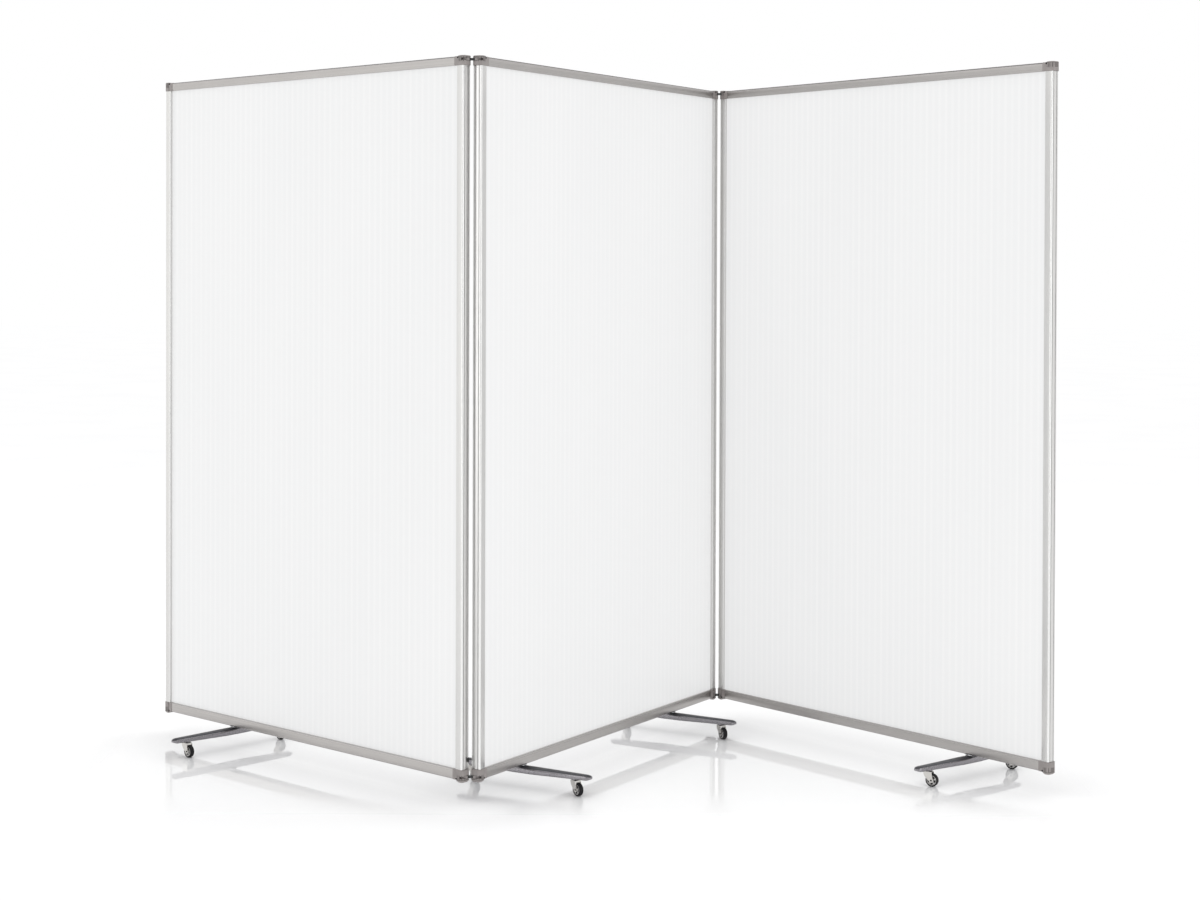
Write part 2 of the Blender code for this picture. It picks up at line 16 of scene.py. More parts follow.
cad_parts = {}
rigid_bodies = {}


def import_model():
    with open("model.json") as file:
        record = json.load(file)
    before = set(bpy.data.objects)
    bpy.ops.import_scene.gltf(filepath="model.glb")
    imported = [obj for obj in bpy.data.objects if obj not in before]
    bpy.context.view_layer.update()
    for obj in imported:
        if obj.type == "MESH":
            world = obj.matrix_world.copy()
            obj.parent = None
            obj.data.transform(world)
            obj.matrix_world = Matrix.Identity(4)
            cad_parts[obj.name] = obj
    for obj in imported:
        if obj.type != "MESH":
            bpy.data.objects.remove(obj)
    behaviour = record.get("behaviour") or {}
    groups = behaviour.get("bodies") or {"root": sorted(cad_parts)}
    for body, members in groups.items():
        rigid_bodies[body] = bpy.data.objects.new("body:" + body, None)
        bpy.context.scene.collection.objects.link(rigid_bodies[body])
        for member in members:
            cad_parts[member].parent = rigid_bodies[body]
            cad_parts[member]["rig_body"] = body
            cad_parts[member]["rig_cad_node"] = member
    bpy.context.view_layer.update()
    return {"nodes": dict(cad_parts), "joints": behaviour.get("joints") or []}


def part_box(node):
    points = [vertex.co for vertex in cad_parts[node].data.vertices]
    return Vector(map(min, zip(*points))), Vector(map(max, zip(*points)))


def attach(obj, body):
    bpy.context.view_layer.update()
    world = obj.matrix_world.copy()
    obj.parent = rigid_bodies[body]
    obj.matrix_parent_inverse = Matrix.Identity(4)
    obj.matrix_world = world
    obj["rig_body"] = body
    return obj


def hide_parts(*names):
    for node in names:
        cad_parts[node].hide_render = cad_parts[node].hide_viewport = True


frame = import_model()

MM = 0.001

# ---- dimensions of the divider, as in its CAD model -----------------------
PANEL_W = 1220 * MM
FRAME_DEPTH = 25.4 * MM
FACE = 22 * MM
FACE_BOTTOM = 26 * MM
SHEET_T = 10 * MM
SHEET_INSERT = 8.5 * MM
SHEET_GROOVE_W = 10.6 * MM
FLUTES = 53
CAP_LENGTH = 31 * MM
GAP = 0.3 * MM
PIVOT_INSET = 8 * MM
PIVOT_SPACING = 35.5 * MM
STEM_AT = 155 * MM
TRAIL = 11 * MM
WHEEL_R = 16.35 * MM
LEGS = ("left_leg", "middle_leg_left", "middle_leg_right", "right_leg")

RAIL_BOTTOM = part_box("middle_panel_bottom_rail")[0].z
RAIL_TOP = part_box("middle_panel_top_rail")[1].z

scene = bpy.context.scene


# ---- where the panels stand -----------------------------------------------
JOINTS = {j["name"]: Vector(j["pos_m"]) for j in frame["joints"]}


def plan_frame(origin, along):
    """A matrix whose x axis is along, in plan, with z up from the floor."""
    x = Vector((along.x, along.y, 0)).normalized()
    y = Vector((-x.y, x.x, 0))
    matrix = Matrix(
        (
            (x.x, y.x, 0, origin.x),
            (x.y, y.y, 0, origin.y),
            (0, 0, 1, 0),
            (0, 0, 0, 1),
        )
    )
    return matrix


def panel_frame(from_pivot, to_point, pivot_x):
    """The panel whose x axis runs from from_pivot to to_point."""
    along = (to_point - from_pivot).normalized()
    return plan_frame(from_pivot - along * pivot_x, along)


def leg_middle(name):
    return (JOINTS[f"{name}_front_swivel"] + JOINTS[f"{name}_back_swivel"]) / 2


def flat(v):
    return Vector((v.x, v.y, 0))


left_inner, left_outer = (flat(JOINTS[f"left_hinge_{k}_pivot"]) for k in ("inner", "outer"))
right_inner, right_outer = (
    flat(JOINTS[f"right_hinge_{k}_pivot"]) for k in ("inner", "outer")
)
PANELS = {"middle_panel": panel_frame(left_inner, right_inner, PIVOT_INSET)}
toward = left_outer - flat(leg_middle("left_leg"))
PANELS["left_panel"] = plan_frame(
    left_outer - toward.normalized() * (PANEL_W - PIVOT_INSET), toward
)
PANELS["right_panel"] = panel_frame(
    right_outer, flat(leg_middle("right_leg")), PIVOT_INSET
)


# ---- node materials -------------------------------------------------------
class Nodes:
    """Small helper that builds one material's node tree."""

    def __init__(self, name, **sockets):
        self.mat = bpy.data.materials.new(name)
        self.mat.use_nodes = True
        self.tree = self.mat.node_tree
        self.shader = self.tree.nodes["Principled BSDF"]
        for socket, value in sockets.items():
            self.shader.inputs[socket.replace("_", " ")].default_value = value
        self.coord = self.tree.nodes.new("ShaderNodeTexCoord").outputs["Object"]

    def node(self, kind, **settings):
        node = self.tree.nodes.new("ShaderNode" + kind)
        for key, value in settings.items():
            setattr(node, key, value)
        return node

    def link(self, a, b):
        self.tree.links.new(a, b)
        return b

    def scaled(self, scale, source=None):
        node = self.node("Mapping")
        node.inputs["Scale"].default_value = scale
        self.link(source or self.coord, node.inputs["Vector"])
        return node.outputs["Vector"]

    def noise(self, scale, detail=2.0, size=1.0, rough=0.5):
        node = self.node("TexNoise")
        node.inputs["Scale"].default_value = size
        node.inputs["Detail"].default_value = detail
        node.inputs["Roughness"].default_value = rough
        self.link(self.scaled(scale), node.inputs["Vector"])
        return node.outputs["Fac"]

    def math(self, operation, a, b=None, c=None):
        node = self.node("Math", operation=operation)
        for i, value in enumerate((a, b, c)):
            if value is None:
                continue
            if hasattr(value, "is_linked"):
                self.link(value, node.inputs[i])
            else:
                node.inputs[i].default_value = value
        return node.outputs["Value"]

    def ramp(self, fac, *stops):
        node = self.node("ValToRGB")
        ramp = node.color_ramp
        while len(ramp.elements) > 1:
            ramp.elements.remove(ramp.elements[-1])
        for i, (at, colour) in enumerate(stops):
            element = ramp.elements[0] if i == 0 else ramp.elements.new(at)
            element.position = at
            element.color = (*colour, 1.0)
        self.link(fac, node.inputs["Fac"])
        return node.outputs["Color"]

    def range(self, fac, low, high, start=0.0, end=1.0):
        node = self.node("MapRange")
        node.inputs["From Min"].default_value = start
        node.inputs["From Max"].default_value = end
        node.inputs["To Min"].default_value = low
        node.inputs["To Max"].default_value = high
        self.link(fac, node.inputs["Value"])
        return node.outputs["Result"]

    def mix(self, fac, a, b, blend="MIX"):
        node = self.node("Mix", data_type="RGBA", blend_type=blend)
        if hasattr(fac, "is_linked"):
            self.link(fac, node.inputs["Factor"])
        else:
            node.inputs["Factor"].default_value = fac
        self.link(a, node.inputs[6])
        self.link(b, node.inputs[7])
        return node.outputs[2]

    def bump(self, height, distance, strength=1.0):
        node = self.node("Bump")
        node.inputs["Distance"].default_value = distance
        node.inputs["Strength"].default_value = strength
        self.link(height, node.inputs["Height"])
        self.link(node.outputs["Normal"], self.shader.inputs["Normal"])

    def out(self, socket, value):
        self.link(value, self.shader.inputs[socket])


def scale_colour(colour, k):
    return tuple(c * k for c in colour)


def aluminium(name, lengthwise, base, rough, spread=0.06):
    """Satin anodised extrusion, brushed along its length."""
    n = Nodes(name, Metallic=1.0)
    fine = {"x": (14, 2600, 2600), "z": (2600, 2600, 14)}[lengthwise]
    broad = {"x": (1.2, 300, 300), "z": (300, 300, 1.2)}[lengthwise]
    lines = n.noise(fine, 3.0)
    die = n.noise(broad, 2.0)
    cloud = n.noise((9, 9, 9), 3.0)
    both = n.math("MULTIPLY_ADD", lines, 0.45, n.math("MULTIPLY", die, 0.55))
    mixed = n.math("MULTIPLY_ADD", cloud, 0.25, n.math("MULTIPLY", both, 0.75))
    n.out(
        "Base Color",
        n.ramp(
            mixed,
            (0.30, scale_colour(base, 1 - spread)),
            (0.52, base),
            (0.72, tuple(min(1.0, c * (1 + spread)) for c in base)),
        ),
    )
    n.out("Roughness", n.range(mixed, rough + 0.07, rough - 0.05, 0.3, 0.7))
    n.bump(both, 0.00003, 0.6)
    return n.mat


def opal_sheet():
    """Translucent white twin-wall plastic: flutes show as faint upright bands. A painted glow gives it
    most of its brightness.
    """
    n = Nodes(
        "opal_sheet",
        Alpha=0.94,
        IOR=1.49,
        # painted glow: an even emission that stands in for light coming through the translucent sheet
        # from behind and fills the shade beside the frames
        **{"Emission Strength": 0.53},
    )
    pitch = (PANEL_W - 2 * FACE) / FLUTES
    separate = n.node("SeparateXYZ")
    n.link(n.coord, separate.inputs["Vector"])
    x = separate.outputs["X"]
    turn = n.math("MULTIPLY", x, 2 * math.pi / pitch)
    full = n.math("COSINE", n.math("ADD", turn, math.pi))
    half = n.math("COSINE", n.math("MULTIPLY", turn, 2.0))
    # each flute carries its own slight strength, and it fades in and out
    own = n.noise((45, 1, 0.5), 2.0)
    drift = n.noise((3.0, 1, 0.9), 3.0)
    streak = n.noise((1400, 1, 1.1), 3.0)
    waves = n.math("MULTIPLY_ADD", half, 0.35, full)
    waves = n.math("MULTIPLY", waves, n.range(own, 0.25, 1.0, 0.3, 0.7))
    value = n.math("MULTIPLY_ADD", waves, 0.17, 0.5)
    value = n.math("MULTIPLY_ADD", n.math("SUBTRACT", drift, 0.5), 0.35, value)
    value = n.math("MULTIPLY_ADD", n.math("SUBTRACT", streak, 0.5), 0.22, value)
    # a low base colour, since the painted glow gives most of the brightness
    n.out(
        "Base Color",
        n.ramp(
            value,
            (0.10, (0.320, 0.322, 0.324)),
            (0.50, (0.345, 0.346, 0.347)),
            (0.90, (0.372, 0.371, 0.370)),
        ),
    )
    # the painted glow's colour, near white, carrying the same flute bands
    n.out(
        "Emission Color",
        n.ramp(
            value,
            (0.10, (0.925, 0.930, 0.935)),
            (0.50, (0.965, 0.967, 0.968)),
            (0.90, (1.000, 1.000, 0.998)),
        ),
    )
    n.out("Roughness", n.range(streak, 0.30, 0.42, 0.3, 0.7))
    n.bump(n.math("MULTIPLY_ADD", waves, 0.5, streak), 0.00008, 0.35)
    return n.mat


def plastic(name, base, rough, grain=2600, depth=0.00004, spread=0.12, **sockets):
    """Moulded plastic: fine eroded grain over a slightly uneven colour."""
    n = Nodes(name, **sockets)
    fine = n.noise((grain, grain, grain), 2.0)
    cloud = n.noise((60, 60, 60), 4.0)
    mixed = n.math("MULTIPLY_ADD", fine, 0.35, n.math("MULTIPLY", cloud, 0.65))
    n.out(
        "Base Color",
        n.ramp(
            mixed,
            (0.30, scale_colour(base, 1 - spread)),
            (0.50, base),
            (0.70, scale_colour(base, 1 + spread)),
        ),
    )
    n.out("Roughness", n.range(mixed, rough + 0.08, rough - 0.06, 0.3, 0.7))
    n.bump(fine, depth, 0.5)
    return n.mat


def metal(name, base, rough, spread=0.06, scratch=500, dent=0.00001, **sockets):
    """Bright metal with fine scratches and a little tarnish."""
    n = Nodes(name, Metallic=1.0, **sockets)
    marks = n.noise((scratch, scratch * 2.5, scratch * 0.5), 4.0)
    cloud = n.noise((120, 120, 120), 3.0)
    mixed = n.math("MULTIPLY_ADD", marks, 0.5, n.math("MULTIPLY", cloud, 0.5))
    n.out(
        "Base Color",
        n.ramp(
            mixed,
            (0.30, scale_colour(base, 1 - spread)),
            (0.55, base),
            (0.75, tuple(min(1.0, c * (1 + spread)) for c in base)),
        ),
    )
    n.out("Roughness", n.range(mixed, rough + 0.05, max(0.02, rough - 0.03), 0.3, 0.7))
    n.bump(marks, dent, 0.4)
    return n.mat


ALU = (0.68, 0.675, 0.665)
# the rails: a darker copy of the stile aluminium, their own beige-grey tone plus painted shade for their
# darker reflections
RAIL = (0.47, 0.452, 0.44)
MATERIALS = {
    "stile": aluminium("stile_satin_aluminium", "z", ALU, 0.30),
    # stile edges: lower roughness as polish, and a paler base than the stile face as painted highlight
    "stile_edge": aluminium("stile_edge_polish_and_painted_highlight", "z", (0.86, 0.86, 0.85), 0.16, 0.03),
    # stile grooves and hollow: a darker base as painted shade
    "stile_groove": aluminium("stile_groove_painted_shade", "z", (0.56, 0.555, 0.55), 0.42),
    "rail": aluminium("rail_aluminium_tone_and_painted_shade", "x", RAIL, 0.32),
    # rail edges: lower roughness as polish, and a darker base than the rail as painted shade
    "rail_edge": aluminium("rail_edge_polish_and_painted_shade", "x", (0.40, 0.385, 0.38), 0.22, 0.05),
    # rail grooves and hollow: a much darker base as painted shade
    "rail_groove": aluminium("rail_groove_painted_shade", "x", (0.25, 0.245, 0.24), 0.42),
    "sheet": opal_sheet(),
    "cap": plastic("cap_grey_plastic", (0.285, 0.260, 0.252), 0.40),
    "cap_edge": plastic("cap_worn_edge", (0.40, 0.370, 0.36), 0.30, spread=0.2),
    "cap_recess": plastic("cap_shaded_recess", (0.165, 0.150, 0.145), 0.55),
    "link": plastic("hinge_black_nylon", (0.018, 0.018, 0.019), 0.40),
    "link_edge": plastic("hinge_black_worn_edge", (0.045, 0.045, 0.047), 0.30, spread=0.3),
    "leg": metal("leg_grey_enamel", (0.285, 0.275, 0.290), 0.25, scratch=90, dent=0.000002),
    "leg_edge": metal("leg_worn_edge", (0.22, 0.21, 0.22), 0.20, scratch=90, dent=0.000002),
    # the leg's top faces: a dark colour as painted shade
    "leg_top": plastic(
        "leg_top_painted_shade", (0.030, 0.030, 0.036), 0.34, grain=3200, depth=0.00002, spread=0.3
    ),
    "steel": metal("zinc_plated_steel", (0.60, 0.60, 0.61), 0.26),
    "chrome": metal("caster_chrome", (0.60, 0.585, 0.56), 0.10, 0.05),
    "tyre": plastic(
        "tyre_black_rubber", (0.009, 0.009, 0.010), 0.55, grain=1800, Specular_IOR_Level=0.25
    ),
    "hub": metal("hub_silver_enamel", (0.50, 0.49, 0.48), 0.26),
    # painted shade for recesses, notches and holes; also used on the caster axle
    "dark": plastic("recess_painted_shade_and_dark_axle", (0.012, 0.012, 0.013), 0.6),
    "bumper": plastic("bumper_black_rubber", (0.016, 0.016, 0.016), 0.55, grain=1500),
}


# ---- mesh helpers ---------------------------------------------------------
def arc(cx, cy, r, start, end, steps):
    """Points along an arc, in degrees."""
    return [
        (
            cx + r * math.cos(math.radians(start + (end - start) * i / steps)),
            cy + r * math.sin(math.radians(start + (end - start) * i / steps)),
        )
        for i in range(steps + 1)
    ]


def circle(cx, cy, r, sides, phase=0.0, squash=1.0):
    return [
        (
            cx + r * math.cos(phase + 2 * math.pi * i / sides),
            cy + squash * r * math.sin(phase + 2 * math.pi * i / sides),
        )
        for i in range(sides)
    ]


def closed(bm):
    """Faces turned outward."""
    bmesh.ops.recalc_face_normals(bm, faces=bm.faces)
    if bm.calc_volume(signed=True) < 0:
        bmesh.ops.reverse_faces(bm, faces=bm.faces)
    return bm


def prism(loops, low, high, to_xyz=lambda a, b, c: (a, b, c)):
    """A flat outline (and its holes) drawn out from low to high."""
    bm = bmesh.new()
    points = [p for loop in loops for p in loop]
    lower = [bm.verts.new(to_xyz(a, b, low)) for a, b in points]
    upper = [bm.verts.new(to_xyz(a, b, high)) for a, b in points]
    start = 0
    for loop in loops:
        n = len(loop)
        for i in range(n):
            j = (i + 1) % n
            bm.faces.new(
                (lower[start + i], lower[start + j], upper[start + j], upper[start + i])
            )
        start += n
    if len(loops) == 1:
        bm.faces.new(lower[::-1])
        bm.faces.new(upper)
    else:
        outline = [[Vector((a, b, 0)) for a, b in loop] for loop in loops]
        for tri in tessellate_polygon(outline):
            bm.faces.new([lower[k] for k in tri])
            bm.faces.new([upper[k] for k in reversed(tri)])
    return closed(bm)


def box(x0, x1, y0, y1, z0, z1):
    return prism([[(x0, y0), (x1, y0), (x1, y1), (x0, y1)]], z0, z1)


def along_x(a, b, c):
    return (c, a, b)


def along_y(a, b, c):
    return (a, c, b)


def lathe(profile, steps, to_xyz):
    """A closed profile of (radius, height) turned about its axis."""
    bm = bmesh.new()
    rings = []
    for i in range(steps):
        a = 2 * math.pi * i / steps
        rings.append(
            [bm.verts.new(to_xyz(r * math.cos(a), r * math.sin(a), h)) for r, h in profile]
        )
    for i in range(steps):
        a, b = rings[i], rings[(i + 1) % steps]
        for j in range(len(profile)):
            k = (j + 1) % len(profile)
            bm.faces.new((a[j], a[k], b[k], b[j]))
    return closed(bm)


def mesh_of(bm, name, materials):
    mesh = bpy.data.meshes.new(name)
    bm.to_mesh(mesh)
    bm.free()
    for key in materials:
        mesh.materials.append(MATERIALS[key])
    return mesh


def smooth(mesh, degrees=35):
    mesh.shade_smooth()
    mesh.set_sharp_from_angle(angle=math.radians(degrees))
    return mesh


def join(*parts):
    """One bmesh of several closed shells."""
    whole = parts[0]
    for part in parts[1:]:
        spare = bpy.data.meshes.new("spare")
        part.to_mesh(spare)
        part.free()
        whole.from_mesh(spare)
        bpy.data.meshes.remove(spare)
    return whole


def paint(bm, index, test=lambda f: True):
    for face in bm.faces:
        if test(face):
            face.material_index = index
    return bm


def shaped(name, base, steps, materials, bevel=0.0, segments=2, limit=38, edge=None):
    """The mesh left after Booleans on a base, with its edges rounded.

    The rounded edges take the material slot given by edge.
    """
    made = bpy.data.objects.new(name, mesh_of(base, name, materials))
    scene.collection.objects.link(made)
    spare = []
    for i, (operation, tool) in enumerate(steps):
        helper = bpy.data.objects.new(f"{name}_{i}", mesh_of(tool, f"{name}_{i}", materials))
        scene.collection.objects.link(helper)
        spare.append(helper)
        modifier = made.modifiers.new(f"cut_{i}", "BOOLEAN")
        modifier.operation = operation
        modifier.object = helper
        modifier.solver = "EXACT"
    if bevel:
        modifier = made.modifiers.new("round", "BEVEL")
        modifier.width = bevel
        modifier.segments = segments
        modifier.limit_method = "ANGLE"
        modifier.angle_limit = math.radians(limit)
        modifier.use_clamp_overlap = True
        modifier.miter_outer = "MITER_ARC"
        if edge is not None:
            modifier.material = edge
    bpy.context.view_layer.update()
    graph = bpy.context.evaluated_depsgraph_get()
    mesh = bpy.data.meshes.new_from_object(made.evaluated_get(graph))
    mesh.name = name
    for helper in spare + [made]:
        old = helper.data
        bpy.data.objects.remove(helper)
        bpy.data.meshes.remove(old)
    return weighted(mesh)


def weighted(mesh, degrees=40):
    """Smooth shading that keeps the large faces flat."""
    smooth(mesh, degrees)
    holder = bpy.data.objects.new("weighting", mesh)
    scene.collection.objects.link(holder)
    modifier = holder.modifiers.new("weight", "WEIGHTED_NORMAL")
    modifier.mode = "FACE_AREA"
    modifier.weight = 50
    modifier.keep_sharp = True
    bpy.context.view_layer.update()
    graph = bpy.context.evaluated_depsgraph_get()
    made = bpy.data.meshes.new_from_object(holder.evaluated_get(graph))
    made.name = mesh.name
    bpy.data.objects.remove(holder)
    bpy.data.meshes.remove(mesh)
    return made


BODY_OF = {o["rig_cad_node"]: o["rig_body"] for o in frame["nodes"].values()}


def place(node, mesh, matrix):
    """A piece that stands for one CAD node and moves with its body."""
    obj = bpy.data.objects.new(f"{node}_look", mesh)
    scene.collection.objects.link(obj)
    obj.matrix_world = matrix
    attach(obj, BODY_OF[node])
    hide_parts(node)
    return obj


# ---- shapes ---------------------------------------------------------------
def frame_profile(face):
    """Extrusion outline in (u, v), each point with the kind of the side after it.

    u runs from the outer side inward and v is the depth.
    """
    h = FRAME_DEPTH / 2
    r = 3.2 * MM
    g = SHEET_GROOVE_W / 2
    lip = 0.9 * MM
    half = []  # from the middle of the outer side round to the sheet groove
    # the outer side: a softly domed middle between two grooves, dark with painted shade
    dome = 0.25 * MM
    for k in range(6):
        y = 4.8 * MM * k / 6
        half.append(((dome * (y / (4.8 * MM)) ** 2, y), "body"))
    half += [
        ((dome, 4.8 * MM), "edge"),
        ((0.55 * MM, 5.0 * MM), "groove"),
        ((1.7 * MM, 5.05 * MM), "groove"),
        ((1.7 * MM, 6.95 * MM), "groove"),
        ((0.4 * MM, 7.0 * MM), "edge"),
        ((0.0, 7.3 * MM), "body"),
    ]
    half += [(p, "edge") for p in arc(r, h - r, r, 180, 90, 10)]
    half[-1] = (half[-1][0], "body")
    # a shallow step along the face, as extruded
    half += [((face - 5.0 * MM, h), "edge"), ((face - 4.7 * MM, h - 0.12 * MM), "body")]
    half += [
        (p, "edge") for p in arc(face - lip, h - 0.12 * MM - lip, lip, 90, 0, 4)
    ]
    half[-1] = (half[-1][0], "body")
    half += [(p, "edge") for p in arc(face - 0.5 * MM, g + 0.5 * MM, 0.5 * MM, 0, -90, 3)]
    half[-1] = (half[-1][0], "groove")
    half += [((face - 9 * MM, g), "groove"), ((face - 9 * MM, 0.0), "groove")]
    other = []
    for i in range(len(half) - 2, 0, -1):
        (u, v), _ = half[i]
        other.append(((u, -v), half[i - 1][1]))
    return half + other


def extrusion(name, face, length, place_point, materials):
    """A frame member with rounded edges and open, hollow ends. Edge faces take slot 1: polish plus
    painted highlight on the stiles, polish plus painted shade on the rails; the grooves and the hollow
    take slot 2, in painted shade.
    """
    outline = frame_profile(face)
    bm = bmesh.new()
    rings = [
        [bm.verts.new(place_point(u, v, at)) for (u, v), _ in outline]
        for at in (0.0, length)
    ]
    slots = {"body": 0, "edge": 1, "groove": 2}
    n = len(outline)
    for i in range(n):
        j = (i + 1) % n
        f = bm.faces.new((rings[0][i], rings[0][j], rings[1][j], rings[1][i]))
        f.material_index = slots[outline[i][1]]
    cavity = [
        (2.9 * MM, -10.6 * MM),
        (face - 10.6 * MM, -10.6 * MM),
        (face - 10.6 * MM, 10.6 * MM),
        (2.9 * MM, 10.6 * MM),
    ]
    inner = [
        [bm.verts.new(place_point(u, v, at)) for u, v in cavity] for at in (0.0, length)
    ]
    for i in range(4):
        j = (i + 1) % 4
        bm.faces.new((inner[0][j], inner[0][i], inner[1][i], inner[1][j])).material_index = 2
    loops = [[Vector((*p, 0)) for p, _ in outline], [Vector((*p, 0)) for p in cavity]]
    for k, ring in enumerate(rings):
        verts = ring + inner[k]
        for tri in tessellate_polygon(loops):
            bm.faces.new([verts[t] for t in tri])
    closed(bm)
    return smooth(mesh_of(bm, name, materials), 40)


def sheet_mesh(width, height):
    """Twin-wall sheet whose skins swell a little between the upright ribs."""
    t = SHEET_T / 2
    inner = t - 0.8 * MM
    pitch = (PANEL_W - 2 * FACE) / FLUTES
    rib = 0.6 * MM
    swell = 0.16 * MM
    stations = [(-width / 2, 0.0, True), (-width / 2 + 0.8 * MM, 0.0, False)]
    for i in range(FLUTES + 1):
        x = (i - FLUTES / 2) * pitch
        stations += [(x - rib / 2, 0.0, True), (x + rib / 2, 0.0, False)]
        if i < FLUTES:
            for k in range(1, 6):
                a = k / 6
                stations.append(
                    (x + rib / 2 + (pitch - rib) * a, swell * math.sin(math.pi * a), False)
                )
    stations += [(width / 2 - 0.8 * MM, 0.0, True), (width / 2, 0.0, False)]
    bm = bmesh.new()
    grid = {}
    for i, (x, bulge, _) in enumerate(stations):
        for j, y in enumerate((-t - bulge, -inner - bulge, inner + bulge, t + bulge)):
            for k, z in enumerate((0.0, height)):
                grid[i, j, k] = bm.verts.new((x, y, z))
    last = len(stations) - 1
    for i in range(last):
        solid = stations[i][2]
        for k in (0, 1):
            for j in (0, 1, 2):
                if j == 1 and not solid:
                    continue
                bm.faces.new(
                    (grid[i, j, k], grid[i + 1, j, k], grid[i + 1, j + 1, k], grid[i, j + 1, k])
                )
        for j in (0, 3) if solid else (0, 1, 2, 3):
            bm.faces.new((grid[i, j, 0], grid[i + 1, j, 0], grid[i + 1, j, 1], grid[i, j, 1]))
    for i in range(1, last):
        if stations[i - 1][2] != stations[i][2]:
            bm.faces.new((grid[i, 1, 0], grid[i, 2, 0], grid[i, 2, 1], grid[i, 1, 1]))
    for i in (0, last):
        for j in (0, 1, 2):
            bm.faces.new(
                (grid[i, j, 0], grid[i, j + 1, 0], grid[i, j + 1, 1], grid[i, j, 1])
            )
    closed(bm)
    return smooth(mesh_of(bm, "sheet", ["sheet"]), 30)


def loft(lower, upper, z0, z1):
    """A closed body between two outlines of the same number of points."""
    bm = bmesh.new()
    rings = [
        [bm.verts.new((x, y, z)) for x, y in outline]
        for outline, z in ((lower, z0), (upper, z1))
    ]
    n = len(lower)
    for i in range(n):
        j = (i + 1) % n
        bm.faces.new((rings[0][i], rings[0][j], rings[1][j], rings[1][i]))
    bm.faces.new(rings[0][::-1])
    bm.faces.new(rings[1])
    return closed(bm)


